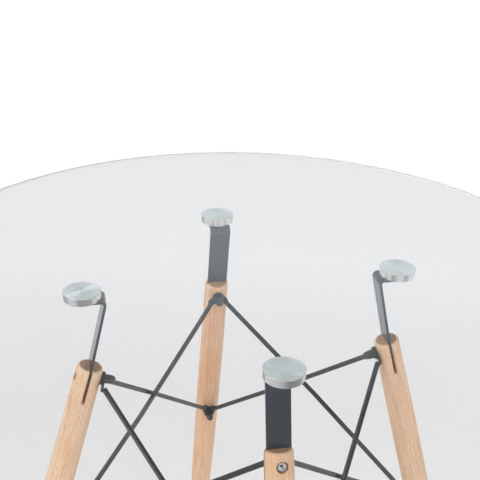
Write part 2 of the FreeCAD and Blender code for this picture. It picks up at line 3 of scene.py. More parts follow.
import logging
import math
from collections.abc import Sequence
from dataclasses import dataclass
from enum import Enum
from typing import Any

import bpy
from mathutils import Euler, Matrix, Vector


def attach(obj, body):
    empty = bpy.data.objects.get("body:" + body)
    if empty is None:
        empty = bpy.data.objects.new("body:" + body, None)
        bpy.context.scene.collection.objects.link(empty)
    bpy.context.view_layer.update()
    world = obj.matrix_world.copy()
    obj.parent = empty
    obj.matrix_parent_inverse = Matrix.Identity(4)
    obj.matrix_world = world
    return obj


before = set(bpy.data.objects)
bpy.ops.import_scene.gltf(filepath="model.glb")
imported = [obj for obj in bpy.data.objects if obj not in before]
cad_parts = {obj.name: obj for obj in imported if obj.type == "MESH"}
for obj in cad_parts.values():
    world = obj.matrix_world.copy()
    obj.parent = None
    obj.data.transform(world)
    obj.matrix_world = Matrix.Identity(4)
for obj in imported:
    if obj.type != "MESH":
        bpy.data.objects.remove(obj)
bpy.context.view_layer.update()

LOG = logging.getLogger("round_glass_table")
ROOT_BODY = "root"
SEED = 7
TURN_ATTRIBUTE = "turn"
FINE_BUMP = 0.0001
COARSE_BUMP = 0.0002
# Sockets of the mix node that take its share and its two colours, and the one that gives the mix.
MIX_INPUTS = (0, 6, 7)
MIX_OUTPUT = 2

Colour = tuple[float, float, float]
Span = tuple[float, float]
Socket = bpy.types.NodeSocket
# Scale, detail and roughness of a soft random pattern.
Grain = tuple[float, float, float]


class Corner(Enum):
    """The four corners of the table, with the direction that each leg stands in."""

    BACK_RIGHT = 45.0
    BACK_LEFT = 135.0
    FRONT_LEFT = 225.0
    FRONT_RIGHT = 315.0

    @property
    def label(self) -> str:
        """Name of the corner as the nodes of the model spell it."""
        return self.name.lower()


class Side(Enum):
    """The four sides of the table, in the spelling of the brace rods."""

    FRONT = "front"
    RIGHT = "right"
    BACK = "back"
    LEFT = "left"


class Level(Enum):
    """The two rows of bolts, with their place in lists of sizes."""

    UPPER = 0
    LOWER = 1

    @property
    def label(self) -> str:
        """Name of the row as the nodes of the model spell it."""
        return self.name.lower()


def rgba(colour: Colour) -> tuple[float, float, float, float]:
    """Add full opacity to a colour."""
    return (*colour, 1.0)


def scaled(colour: Colour, share: float) -> Colour:
    """Make a colour lighter or darker by one factor, up to white."""
    red, green, blue = (min(1.0, share * part) for part in colour)
    return red, green, blue


class NodeSketch:
    """One node tree, with short ways to add a node and to wire it."""

    def __init__(self, tree: bpy.types.NodeTree) -> None:
        """Take the tree of a material, a world or a node group."""
        self.tree = tree

    def add(self, kind: str, inputs: dict[Any, Any] | None = None, **settings: Any) -> bpy.types.Node:
        """Add one node.

        Args:
            kind: Type of the node, as the program spells it.
            inputs: Values or output sockets by the name or number of the input.
            settings: Properties of the node itself.

        Returns:
            The new node.
        """
        node = self.tree.nodes.new(kind)
        for name, value in settings.items():
            setattr(node, name, value)
        for key, value in (inputs or {}).items():
            self.feed(node.inputs[key], value)
        return node

    def feed(self, socket: Socket, value: Any) -> None:
        """Wire an output to a socket, or set the socket to a plain value.

        Args:
            socket: The socket.
            value: The output or the value.
        """
        if isinstance(value, Socket):
            self.tree.links.new(value, socket)
        else:
            socket.default_value = value

    def maths(self, operation: str, *values: Any) -> Socket:
        """Work out one number from one, two or three others."""
        node = self.add("ShaderNodeMath", dict(enumerate(values)), operation=operation)
        return node.outputs[0]

    def parts(self, value: Any) -> Sequence[Socket]:
        """The three parts of a vector."""
        return self.add("ShaderNodeSeparateXYZ", {0: value}).outputs

    def vector(self, operation: str, *values: Any) -> bpy.types.Node:
        """Work out one vector from others."""
        return self.add("ShaderNodeVectorMath", dict(enumerate(values)), operation=operation)

    def spread(self, value: Any, low: float, high: float, to_low: float = 0.0,
               to_high: float = 1.0) -> Socket:
        """Map a span of a number smoothly to another span."""
        inputs = {"Value": value, "From Min": low, "From Max": high, "To Min": to_low, "To Max": to_high}
        return self.add("ShaderNodeMapRange", inputs, interpolation_type="SMOOTHSTEP").outputs["Result"]

    def mix(self, share: Any, first: Any, second: Any, blend: str = "MIX") -> Socket:
        """Mix two colours.

        Args:
            share: Share of the second colour.
            first: The first colour.
            second: The second colour.
            blend: Way of mixing.

        Returns:
            The mixed colour.
        """
        node = self.add("ShaderNodeMix", data_type="RGBA", blend_type=blend)
        for number, value in zip(MIX_INPUTS, (share, first, second)):
            self.feed(node.inputs[number], value)
        return node.outputs[MIX_OUTPUT]

    def noise(self, place: Any, grain: Grain) -> Socket:
        """Soft random pattern, as a number."""
        inputs = dict(zip(("Scale", "Detail", "Roughness"), grain))
        return self.add("ShaderNodeTexNoise", {"Vector": place, **inputs}).outputs[0]

    def ramp(self, value: Any, stops: Sequence[tuple[float, Colour]]) -> Socket:
        """Turn a number into a colour by way of stops.

        Args:
            value: The number, from 0 to 1.
            stops: Colours with their places between 0 and 1.

        Returns:
            The colour.
        """
        node = self.add("ShaderNodeValToRGB", {0: value})
        elements = node.color_ramp.elements
        while len(elements) < len(stops):
            elements.new(1.0)
        for element, (position, colour) in zip(elements, stops):
            element.position = position
            element.color = rgba(colour)
        return node.outputs[0]

    def bump(self, height: Any, strength: float, distance: float) -> Socket:
        """Turn a height into a normal."""
        inputs = {"Height": height, "Strength": strength, "Distance": distance}
        return self.add("ShaderNodeBump", inputs).outputs[0]


class MaterialSketch(NodeSketch):
    """A new material with a principled surface that is ready to be wired."""

    def __init__(self, name: str, base: dict[str, Any]) -> None:
        """Make the material and its surface.

        Args:
            name: Name of the material.
            base: Inputs of the principled surface that are plain values.
        """
        self.material = bpy.data.materials.new(name)
        self.material.use_nodes = True
        super().__init__(self.material.node_tree)
        self.tree.nodes.clear()
        self.surface = self.add("ShaderNodeBsdfPrincipled", base)
        self.output = self.add("ShaderNodeOutputMaterial", {"Surface": self.surface.outputs[0]})

    def object_place(self) -> Socket:
        """Object coordinates, which lie in the frame of the table."""
        return self.add("ShaderNodeTexCoord").outputs["Object"]

    def local_place(self, place: Matrix, folded: bool = False) -> Socket:
        """Object coordinates seen from another frame of the table.

        Args:
            place: The frame.
            folded: Whether the table's four corners are first folded onto one.

        Returns:
            The coordinates.
        """
        point = self.object_place()
        if folded:
            point = self.vector("ABSOLUTE", point).outputs[0]
        inputs = {"Vector": point, "Location": place.translation, "Rotation": place.to_euler("XYZ")}
        return self.add("ShaderNodeMapping", inputs, vector_type="TEXTURE").outputs[0]

    def drawn_out(self, local: Socket, share: float) -> Socket:
        """Coordinates that draw a pattern out along Z."""
        return self.vector("MULTIPLY", local, (1.0, 1.0, share)).outputs[0]

    def distance_across(self, place: Any, level: float = 0.0) -> Socket:
        """Distance from the line along X that crosses Z at a level.

        Args:
            place: Coordinates of the point.
            level: The level.

        Returns:
            The distance.
        """
        parts = self.parts(place)
        across = self.add("ShaderNodeCombineXYZ", {0: parts[1], 1: parts[2]}).outputs[0]
        centred = self.vector("SUBTRACT", across, (0.0, level, 0.0)).outputs[0]
        return self.vector("LENGTH", centred).outputs["Value"]

    def upright_share(self) -> Socket:
        """How far the surface faces straight up or down, from 0 to 1."""
        normal = self.add("ShaderNodeTexCoord").outputs["Normal"]
        return self.maths("ABSOLUTE", self.parts(normal)[2])

    def set(self, **inputs: Any) -> None:
        """Feed inputs of the principled surface, with spaces in their names written as underscores."""
        for name, value in inputs.items():
            self.feed(self.surface.inputs[name.replace("_", " ")], value)

    def wired(self, name: str) -> Socket:
        """The output that already feeds one input of the principled surface."""
        return self.surface.inputs[name].links[0].from_socket


class PatternSketch(NodeSketch):
    """A new Geometry Nodes group that sets one pattern at every vertex of the piece it is put on."""

    def __init__(self, name: str, sizes: dict[str, float]) -> None:
        """Make the group and its inputs.

        Args:
            name: Name of the group.
            sizes: Values of the inputs by their names, whole numbers for counts and seeds.
        """
        super().__init__(bpy.data.node_groups.new(name, "GeometryNodeTree"))
        self.sizes = sizes
        face = self.tree.interface
        face.new_socket("Geometry", in_out="OUTPUT", socket_type="NodeSocketGeometry")
        face.new_socket("Geometry", in_out="INPUT", socket_type="NodeSocketGeometry")
        face.new_socket("Material", in_out="INPUT", socket_type="NodeSocketMaterial")
        for label, value in sizes.items():
            kind = "NodeSocketInt" if isinstance(value, int) else "NodeSocketFloat"
            face.new_socket(label, in_out="INPUT", socket_type=kind)
        self.inputs = self.add("NodeGroupInput").outputs

    def moved(self, geometry: Socket, height: Any) -> Socket:
        """Move geometry along Z."""
        shift = self.add("ShaderNodeCombineXYZ", {2: height}).outputs[0]
        return self.add("GeometryNodeTransform", {"Geometry": geometry, "Translation": shift}).outputs[0]

    def close(self, pattern: Socket) -> None:
        """Set the pattern at every vertex, turned by the vertex's own attribute, and end the group.

        Args:
            pattern: Geometry of the pattern.
        """
        turn = self.add("GeometryNodeInputNamedAttribute", {"Name": TURN_ATTRIBUTE},
                        data_type="FLOAT_VECTOR")
        rotation = self.add("FunctionNodeEulerToRotation", {"Euler": turn.outputs["Attribute"]})
        placed = self.add("GeometryNodeInstanceOnPoints", {
            "Points": self.inputs["Geometry"], "Instance": pattern, "Rotation": rotation.outputs[0]})
        solid = self.add("GeometryNodeRealizeInstances", {"Geometry": placed.outputs[0]})
        painted = self.add("GeometryNodeSetMaterial", {
            "Geometry": solid.outputs[0], "Material": self.inputs["Material"]})
        self.add("NodeGroupOutput", {0: painted.outputs[0]})

    def make(self, name: str, slot: str, places: Sequence[Matrix], material: bpy.types.Material) -> None:
        """Make the piece as a plain mesh and let it ride with the table.

        Args:
            name: Name of the piece.
            slot: Name of a material slot; not used.
            places: Frames that the pattern is set at.
            material: Material of the piece.
        """
        seed = bpy.data.meshes.new(f"{name}_places")
        seed.from_pydata([place.translation for place in places], [], [])
        turns = seed.attributes.new(TURN_ATTRIBUTE, "FLOAT_VECTOR", "POINT")
        for item, place in zip(turns.data, places):
            item.vector = place.to_euler("XYZ")
        piece = bpy.data.objects.new(name, seed)
        bpy.context.scene.collection.objects.link(piece)
        modifier = piece.modifiers.new("pattern", "NODES")
        modifier.node_group = self.tree
        values = {**self.sizes, "Material": material}
        for item in self.tree.interface.items_tree:
            if item.in_out == "INPUT" and item.name in values:
                modifier[item.identifier] = values[item.name]
        drawn = piece.evaluated_get(bpy.context.evaluated_depsgraph_get())
        mesh = bpy.data.meshes.new_from_object(drawn)
        piece.modifiers.remove(modifier)
        piece.data = mesh
        mesh.name = name
        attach(piece, ROOT_BODY)
        LOG.info("made %s with %d faces at %d places", name, len(mesh.polygons), len(places))


@dataclass(frozen=True)
class Layout:
    """Sizes of the table that place its patterns and small pieces, in metres and degrees."""

    height: float = 0.750
    glass_thickness: float = 0.008
    bond_gap: float = 0.0001
    disc_ring_radius: float = 0.1755
    disc_thickness: float = 0.0085
    strap_thickness: float = 0.003
    strap_setback: float = 0.024
    strap_rise: float = 0.0835
    strap_run: float = 0.0196
    leg_lean: float = 15.8
    bolt_depths: tuple[float, float] = (0.014, 0.251)
    leg_radii: tuple[float, float] = (0.0146, 0.0163)
    head_recess: float = 0.002

    @property
    def glass_under(self) -> float:
        """Height of the glass pane's lower face."""
        return self.height - self.glass_thickness

    @property
    def leg_top_height(self) -> float:
        """Height of the middle of a leg's top end."""
        under_disc = self.glass_under - self.bond_gap - self.disc_thickness
        return under_disc - self.strap_thickness / 2 - self.strap_rise

    @property
    def leg_top_radius(self) -> float:
        """Distance of the middle of a leg's top end from the table's axis."""
        return self.disc_ring_radius - self.strap_setback + self.strap_run

    def corner_frame(self, corner: Corner, radius: float, height: float) -> Matrix:
        """Frame at a corner of the table, with X outwards and Z up."""
        turn = Matrix.Rotation(math.radians(corner.value), 4, "Z")
        return turn @ Matrix.Translation((radius, 0.0, height))

    def leg_frame(self, corner: Corner) -> Matrix:
        """Frame at the top of a leg, with Z up along the leg's axis and X outwards."""
        tilt = Matrix.Rotation(-math.radians(self.leg_lean), 4, "Y")
        return self.corner_frame(corner, self.leg_top_radius, self.leg_top_height) @ tilt

    def head_frame(self, level: Level, corner: Corner = Corner.BACK_RIGHT) -> Matrix:
        """Frame at the middle of a bolt head's outer face, with X outwards along the bolt."""
        out = self.leg_radii[level.value] - self.head_recess
        return self.leg_frame(corner) @ Matrix.Translation((out, 0.0, -self.bolt_depths[level.value]))

    def disc_frame(self, corner: Corner) -> Matrix:
        """Frame at the middle of a disc's upper face, with X outwards and Z up."""
        return self.corner_frame(corner, self.disc_ring_radius, self.glass_under - self.bond_gap)


@dataclass(frozen=True)
class ClearGlass:
    """Clear pane with a finely ground edge, which lets the lamps through."""

    tint: Colour = (0.862, 0.850, 0.855)
    shade: Colour = (0.86, 0.87, 0.875)
    ior: float = 1.5
    haze: float = 0.012
    marks: Grain = (9.0, 6.0, 0.6)
    mark_span: Span = (0.62, 0.8)
    edge: Colour = (0.72, 0.72, 0.72)
    edge_span: Span = (0.80, 0.98)
    edge_clear: float = 0.4
    edge_rough: float = 0.5

    def material(self, name: str) -> bpy.types.Material:
        """Make the material.

        Args:
            name: Name of the material.

        Returns:
            The material, with faint wiping marks on its faces and a satin edge.
        """
        base = {"Base Color": rgba(self.tint), "Transmission Weight": 1.0, "IOR": self.ior,
                "Roughness": 0.0}
        sketch = MaterialSketch(name, base)
        marks = sketch.noise(sketch.object_place(), self.marks)
        polish = sketch.spread(marks, *self.mark_span, 0.0, self.haze)
        ground = sketch.spread(sketch.upright_share(), *self.edge_span, 1.0, 0.0)
        grind = sketch.maths("MULTIPLY", ground, self.edge_rough)
        sketch.set(Base_Color=sketch.mix(ground, rgba(self.tint), rgba(self.edge)),
                   Roughness=sketch.maths("ADD", polish, grind),
                   Transmission_Weight=sketch.spread(ground, 0.0, 1.0, 1.0, self.edge_clear))
        path = sketch.add("ShaderNodeLightPath")
        through = sketch.add("ShaderNodeBsdfTransparent", {"Color": rgba(self.shade)})
        mixed = sketch.add("ShaderNodeMixShader", {
            0: path.outputs["Is Shadow Ray"], 1: sketch.surface.outputs[0], 2: through.outputs[0]})
        sketch.feed(sketch.output.inputs["Surface"], mixed.outputs[0])
        return sketch.material


@dataclass(frozen=True)
class TurnedMetal:
    """Disc with a satin face and a turned side that carries a painted reflection.

    Each band is a pair of a direction round the disc, in degrees, and a lightness from 0 to 1; together
    they paint the reflection of lit and shadowed surroundings onto the side.
    """

    face: Colour = (0.88, 0.97, 0.96)
    # The side's colour runs between these two by the painted reflection round the disc.
    side: Colour = (0.88, 0.87, 0.86)
    dark: Colour = (0.19, 0.19, 0.195)
    worn: float = 0.84
    ior: float = 1.5
    face_metal: float = 0.6
    face_rough: float = 0.36
    face_span: Span = (0.5, 0.9)
    side_rough: float = 0.2
    stretch: float = 0.9
    rings: Grain = (700.0, 3.0, 0.6)
    ring_bump: float = 0.05
    streaks: Grain = (60.0, 3.0, 0.7)
    streak_depth: float = 0.15
    pattern_span: Span = (0.3, 0.7)
    painted_reflection_bands: tuple[tuple[float, float], ...] = (
        (-180.0, 0.95), (-135.0, 0.90), (-125.0, 0.35), (-117.0, 0.40), (-108.0, 0.95),
        (-94.0, 0.90), (-85.0, 0.30), (-76.0, 0.45), (-68.0, 0.95), (-30.0, 0.80),
        (-15.0, 0.50), (0.0, 0.15), (30.0, 0.20), (48.0, 0.80), (62.0, 0.80), (80.0, 0.15),
        (108.0, 0.20), (125.0, 0.85), (180.0, 0.95))

    def material(self, name: str, place: Matrix) -> bpy.types.Material:
        """Make the material.

        Args:
            name: Name of the material.
            place: Frame whose Z axis the metal was turned about.

        Returns:
            The material, with turning rings on the face, and upright brush streaks over a painted
            reflection on the side.
        """
        base = {"Base Color": rgba(self.face), "Anisotropic": self.stretch, "IOR": self.ior}
        sketch = MaterialSketch(name, base)
        local = sketch.local_place(place)
        parts = sketch.parts(local)
        flat = sketch.add("ShaderNodeCombineXYZ", {0: parts[0], 1: parts[1]}).outputs[0]
        radius = sketch.vector("LENGTH", flat).outputs["Value"]
        rings = sketch.noise(sketch.add("ShaderNodeCombineXYZ", {0: radius}).outputs[0], self.rings)
        face = sketch.mix(sketch.spread(rings, *self.pattern_span), rgba(scaled(self.face, self.worn)),
                          rgba(self.face))
        around = sketch.vector("NORMALIZE", flat).outputs[0]
        streaks = sketch.spread(sketch.noise(around, self.streaks), *self.pattern_span,
                                -self.streak_depth, self.streak_depth)
        # Painted reflection round the side, with the real brush streaks laid over it.
        brushed_and_reflected = sketch.maths("ADD", self.painted_reflections(sketch, flat), streaks)
        side = sketch.mix(brushed_and_reflected, rgba(self.dark), rgba(self.side))
        on_face = sketch.spread(sketch.upright_share(), *self.face_span)
        outward = sketch.vector("SUBTRACT", sketch.object_place(), place.translation).outputs[0]
        sketch.set(Base_Color=sketch.mix(on_face, side, face), Tangent=outward,
                   Metallic=sketch.spread(on_face, 0.0, 1.0, 1.0, self.face_metal),
                   Roughness=sketch.spread(on_face, 0.0, 1.0, self.side_rough, self.face_rough),
                   Normal=sketch.bump(rings, self.ring_bump, FINE_BUMP))
        return sketch.material

    def painted_reflections(self, sketch: MaterialSketch, flat: Socket) -> Socket:
        """Painted reflection on the side: its lightness round the disc.

        Args:
            sketch: Sketch of the material.
            flat: Coordinates in the disc's frame, without the height.

        Returns:
            The lightness.
        """
        turn = sketch.add("ShaderNodeTexGradient", {"Vector": flat}, gradient_type="RADIAL")
        stops = [((direction + 180.0) / 360.0, (level, level, level))
                 for direction, level in self.painted_reflection_bands]
        return sketch.ramp(turn.outputs["Fac"], stops)


@dataclass(frozen=True)
class PlatedMetal:
    """Bright or dull plating on a fastener."""

    colour: Colour
    rough: float
    smudge: float
    smudges: Grain = (420.0, 4.0, 0.6)
    smudge_span: Span = (0.45, 0.75)
    dull: float = 0.8
    dull_span: Span = (0.35, 0.75)
    dull_gain: float = 1.8
    pits: Grain = (1500.0, 2.0, 0.5)
    pit_bump: float = 0.04

    def sketch(self, name: str) -> MaterialSketch:
        """Draw the material.

        Args:
            name: Name of the material.

        Returns:
            Its sketch, with faint handling smudges and a fine unevenness.
        """
        base = {"Base Color": rgba(self.colour), "Metallic": 1.0, "Roughness": self.rough}
        sketch = MaterialSketch(name, base)
        place = sketch.object_place()
        smudges = sketch.noise(place, self.smudges)
        share = sketch.spread(smudges, *self.smudge_span, 0.0, self.smudge)
        sketch.set(Base_Color=sketch.mix(share, rgba(self.colour), rgba(scaled(self.colour, self.dull))),
                   Roughness=sketch.spread(smudges, *self.dull_span, self.rough,
                                           self.rough * self.dull_gain),
                   Normal=sketch.bump(sketch.noise(place, self.pits), self.pit_bump, FINE_BUMP))
        return sketch

    def material(self, name: str) -> bpy.types.Material:
        """Make the material."""
        return self.sketch(name).material


@dataclass(frozen=True)
class SocketPlating(PlatedMetal):
    """Plating of a socket head, with a painted highlight on the socket's walls, painted shade at the
    socket's bottom and a darker rim round the head.
    """

    socket_reach: Span = (0.003, 0.00312)
    lip_depths: Span = (0.0003, 0.0006)
    shade_reach: Span = (0.0012, 0.0022)
    rim_reach: Span = (0.0043, 0.004644)
    # Colour of the socket's walls: a painted highlight.
    wall: Colour = (0.97, 0.97, 0.97)
    # Colour of the painted shade at the socket's bottom.
    socket_shade: Colour = (0.045, 0.043, 0.042)
    inner_rough: float = 0.22
    rim: Colour = (0.36, 0.365, 0.38)

    def head_material(self, name: str, place: Matrix) -> bpy.types.Material:
        """Make the material for the bolts of all four corners.

        Args:
            name: Name of the material.
            place: Frame at the middle of one head's outer face, X outwards.

        Returns:
            The material.
        """
        sketch = self.sketch(name)
        local = sketch.local_place(place, folded=True)
        depth = sketch.maths("MULTIPLY", sketch.parts(local)[0], -1.0)
        across = sketch.distance_across(local)
        near = sketch.spread(across, *self.socket_reach, 1.0, 0.0)
        inside = sketch.maths("MULTIPLY", near, sketch.spread(depth, *self.lip_depths))
        shaded_socket = sketch.maths("MULTIPLY", inside, sketch.spread(across, *self.shade_reach, 1.0, 0.0))
        edged = sketch.mix(sketch.spread(across, *self.rim_reach), sketch.wired("Base Color"),
                           rgba(self.rim))
        # Painted highlight on the socket's walls.
        lined = sketch.mix(inside, edged, rgba(self.wall))
        rougher = sketch.maths("MULTIPLY", inside, self.inner_rough)
        # Painted shade at the socket's bottom.
        sketch.set(Base_Color=sketch.mix(shaded_socket, lined, rgba(self.socket_shade)),
                   Roughness=sketch.maths("MAXIMUM", sketch.wired("Roughness"), rougher))
        return sketch.material


@dataclass(frozen=True)
class BlackPaint:
    """Stoved black paint on steel."""

    colour: Colour
    rough: float
    peel: float
    dust: float
    ior: float = 1.5
    peel_grain: Grain = (900.0, 2.0, 0.5)
    speck: Colour = (0.42, 0.43, 0.44)
    speck_scale: float = 260.0
    speck_span: Span = (0.05, 0.09)
    rubs: Grain = (60.0, 4.0, 0.6)
    rub_span: Span = (0.3, 0.75)
    rub_gains: Span = (0.8, 1.3)

    def sketch(self, name: str) -> MaterialSketch:
        """Draw the material.

        Args:
            name: Name of the material.

        Returns:
            Its sketch, with a fine orange peel and a few dust specks.
        """
        base = {"Base Color": rgba(self.colour), "Roughness": self.rough, "IOR": self.ior}
        sketch = MaterialSketch(name, base)
        place = sketch.object_place()
        peel = sketch.noise(place, self.peel_grain)
        cells = sketch.add("ShaderNodeTexVoronoi", {
            "Vector": place, "Scale": self.speck_scale, "Randomness": 1.0})
        near = sketch.spread(cells.outputs["Distance"], *self.speck_span, 1.0, 0.0)
        picks = sketch.add("ShaderNodeSeparateColor", {0: cells.outputs["Color"]}).outputs[0]
        picked = sketch.maths("GREATER_THAN", picks, 1.0 - self.dust)
        specks = sketch.maths("MULTIPLY", near, picked)
        rubbed = sketch.noise(place, self.rubs)
        smoother, rougher = (self.rough * gain for gain in self.rub_gains)
        sketch.set(Base_Color=sketch.mix(specks, rgba(self.colour), rgba(self.speck)),
                   Roughness=sketch.spread(rubbed, *self.rub_span, smoother, rougher),
                   Normal=sketch.bump(peel, self.peel, FINE_BUMP))
        return sketch

    def material(self, name: str) -> bpy.types.Material:
        """Make the material."""
        return self.sketch(name).material


@dataclass(frozen=True)
class StrapPaint(BlackPaint):
    """Black paint of a bent strap, with a broken lighter line where the bend begins: a press mark
    together with a painted highlight of the bend's edge.
    """

    bend_height: float = 0.7272
    line_reach: Span = (0.0003, 0.0006)
    press_mark_and_highlight: Colour = (0.22, 0.235, 0.24)
    breaks: Grain = (500.0, 2.0, 0.6)
    break_span: Span = (0.4, 0.6)
    break_shares: Span = (0.25, 0.9)

    def sketch(self, name: str) -> MaterialSketch:
        """Draw the material for all four straps.

        Args:
            name: Name of the material.

        Returns:
            Its sketch, with the lighter line, partly press mark and partly painted highlight.
        """
        sketch = super().sketch(name)
        place = sketch.object_place()
        above = sketch.maths("SUBTRACT", sketch.parts(place)[2], self.bend_height)
        off = sketch.maths("ABSOLUTE", above)
        # Lighter line at the bend: a press mark together with a painted highlight.
        line = sketch.spread(off, *self.line_reach, 1.0, 0.0)
        broken = sketch.spread(sketch.noise(place, self.breaks), *self.break_span, *self.break_shares)
        marked_and_highlit = sketch.mix(sketch.maths("MULTIPLY", line, broken), sketch.wired("Base Color"),
                             rgba(self.press_mark_and_highlight))
        sketch.set(Base_Color=marked_and_highlit)
        return sketch


@dataclass(frozen=True)
class Streak:
    """One random pattern of the wood, drawn out along the leg, that grows over a span to its strength."""

    grain: Grain
    drawn: float
    span: Span
    strength: float

    def share(self, sketch: MaterialSketch, local: Socket) -> Socket:
        """How strongly the pattern shows."""
        pattern = sketch.noise(sketch.drawn_out(local, self.drawn), self.grain)
        return sketch.spread(pattern, *self.span, 0.0, self.strength)


@dataclass(frozen=True)
class Beech:
    """Steamed beech, turned and thinly lacquered."""

    pale: Colour = (0.94, 0.665, 0.445)
    deep: Colour = (0.68, 0.405, 0.23)
    warm: Colour = (0.72, 0.375, 0.165)
    fleck: Colour = (0.40, 0.22, 0.11)
    end: Colour = (0.20, 0.115, 0.055)
    sawn: Colour = (0.72, 0.38, 0.19)
    rough: float = 0.5
    ior: float = 1.45
    coat: float = 0.12
    coat_rough: float = 0.35
    ring_width: float = 0.0026
    ring_drawn: float = 0.035
    ring_share: float = 0.65
    late_span: Span = (0.5, 1.0)
    drift: Grain = (14.0, 2.0, 0.5)
    drift_drawn: float = 0.2
    drift_rings: float = 3.0
    fibres: Streak = Streak((700.0, 5.0, 0.65), 0.02, (0.32, 0.72), 0.75)
    glow: Streak = Streak((46.0, 3.0, 0.55), 0.25, (0.5, 0.75), 0.5)
    streaks: Streak = Streak((300.0, 3.0, 0.6), 0.025, (0.5, 0.68), 0.5)
    flecks: Streak = Streak((1500.0, 2.0, 0.5), 0.2, (0.58, 0.7), 0.75)
    pores: Grain = (2600.0, 3.0, 0.6)
    pore_drawn: float = 0.03
    pore_span: Span = (0.3, 0.7)
    pore_roughs: Span = (0.44, 0.6)
    pore_bump: float = 0.18
    end_span: Span = (0.85, 0.985)
    end_early: float = 2.1
    slot_half: float = 0.0018
    slot_fade: float = 1.3
    slot_depth: float = 0.0420
    bore_radius: float = 0.00605
    bore_share: float = 0.85
    cut_fade: float = 1.05
    shadow_halo_reach: float = 3.2
    shadow_halo_share: float = 0.35
    bolt_depths: tuple[float, ...] = Layout.bolt_depths

    def material(self, name: str, place: Matrix, pith: Vector, tint: Colour) -> bpy.types.Material:
        """Make the material for one leg.

        Args:
            name: Name of the material.
            place: Frame at the leg's top, Z up along its axis.
            pith: Middle of the growth rings across the leg, which sets the leg's figure apart.
            tint: Shift of the colour from board to board, together with painted light and shade that
                evens out how brightly each leg is lit.

        Returns:
            The material, with growth rings, fibres, flecks, end grain and browned cuts.
        """
        base = {"Base Color": rgba(self.pale), "Roughness": self.rough, "IOR": self.ior,
                "Coat Weight": self.coat, "Coat Roughness": self.coat_rough}
        sketch = MaterialSketch(name, base)
        local = sketch.local_place(place)
        rings = self.rings(sketch, local, pith)
        colour = sketch.mix(1.0, self.figure(sketch, local, rings), rgba(tint), "MULTIPLY")
        colour = self.end_grain(sketch, place, rings, colour)
        colour = self.cuts(sketch, local, colour)
        pores = sketch.noise(sketch.drawn_out(local, self.pore_drawn), self.pores)
        sketch.set(Base_Color=colour,
                   Roughness=sketch.spread(pores, *self.pore_span, *self.pore_roughs),
                   Normal=sketch.bump(pores, self.pore_bump, COARSE_BUMP))
        return sketch.material

    def rings(self, sketch: MaterialSketch, local: Socket,
              pith: Vector) -> Socket:
        """Late wood of the growth rings.

        Args:
            sketch: Sketch of the material.
            local: Coordinates in the leg's frame.
            pith: Middle of the rings.

        Returns:
            The share of late wood, from 0 to 1.
        """
        drift = sketch.noise(sketch.drawn_out(local, self.drift_drawn), self.drift)
        shifted = sketch.vector("SUBTRACT", local, pith).outputs[0]
        reach = sketch.vector("LENGTH", sketch.drawn_out(shifted, self.ring_drawn)).outputs["Value"]
        phase = sketch.maths("ADD", sketch.maths("DIVIDE", reach, self.ring_width),
                             sketch.maths("MULTIPLY", drift, self.drift_rings))
        saw = sketch.maths("FRACT", phase)
        return sketch.spread(sketch.maths("MULTIPLY", saw, saw), *self.late_span)

    def figure(self, sketch: MaterialSketch, local: Socket,
               rings: Socket) -> Socket:
        """Colour of the long grain: rings, fibres, warm streaks and flecks.

        Args:
            sketch: Sketch of the material.
            local: Coordinates in the leg's frame.
            rings: Share of late wood.

        Returns:
            The colour.
        """
        grain = sketch.maths("ADD", sketch.maths("MULTIPLY", rings, self.ring_share),
                             self.fibres.share(sketch, local))
        colour = sketch.mix(grain, rgba(self.pale), rgba(self.deep))
        for streak, tone in ((self.glow, self.warm), (self.streaks, self.warm),
                             (self.flecks, self.fleck)):
            colour = sketch.mix(streak.share(sketch, local), colour, rgba(tone))
        return colour

    def end_grain(self, sketch: MaterialSketch, place: Matrix, rings: Socket,
                  colour: Socket) -> Socket:
        """Darken the sawn ends and show the rings there.

        Args:
            sketch: Sketch of the material.
            place: Frame at the leg's top.
            rings: Share of late wood.
            colour: Colour of the long grain.

        Returns:
            The colour with the ends.
        """
        axis = place.to_3x3() @ Vector((0.0, 0.0, 1.0))
        normal = sketch.add("ShaderNodeTexCoord").outputs["Normal"]
        facing = sketch.vector("DOT_PRODUCT", normal, axis).outputs["Value"]
        end_share = sketch.spread(sketch.maths("ABSOLUTE", facing), *self.end_span)
        end = sketch.mix(rings, rgba(scaled(self.end, self.end_early)), rgba(self.end))
        return sketch.mix(end_share, colour, end)

    def cuts(self, sketch: MaterialSketch, local: Socket,
             colour: Socket) -> Socket:
        """Brown the walls of the slot and of the counterbores, and put a warm tone round the bolts that
        is partly wood figure and partly a painted shadow of the rods and their eyes.

        Args:
            sketch: Sketch of the material.
            local: Coordinates in the leg's frame.
            colour: Colour of the uncut wood.

        Returns:
            The colour with the cuts.
        """
        parts = sketch.parts(local)
        bore = self.bore_radius
        for depth in self.bolt_depths:
            beside = sketch.distance_across(local, -depth)
            # Warm tone round the bolt: partly figure, partly a painted shadow of the rods and their eyes.
            shadow_halo = sketch.spread(beside, bore, bore * self.shadow_halo_reach, self.shadow_halo_share, 0.0)
            colour = sketch.mix(shadow_halo, colour, rgba(self.warm))
            wall = sketch.spread(beside, bore, bore * self.cut_fade, self.bore_share, 0.0)
            colour = sketch.mix(wall, colour, rgba(self.sawn))
        beside = sketch.spread(sketch.maths("ABSOLUTE", parts[0]), self.slot_half,
                               self.slot_half * self.slot_fade, 1.0, 0.0)
        depth = sketch.maths("MULTIPLY", parts[2], -1.0)
        above = sketch.spread(depth, self.slot_depth, self.slot_depth * self.cut_fade, 1.0, 0.0)
        return sketch.mix(sketch.maths("MULTIPLY", beside, above), colour, rgba(self.sawn))


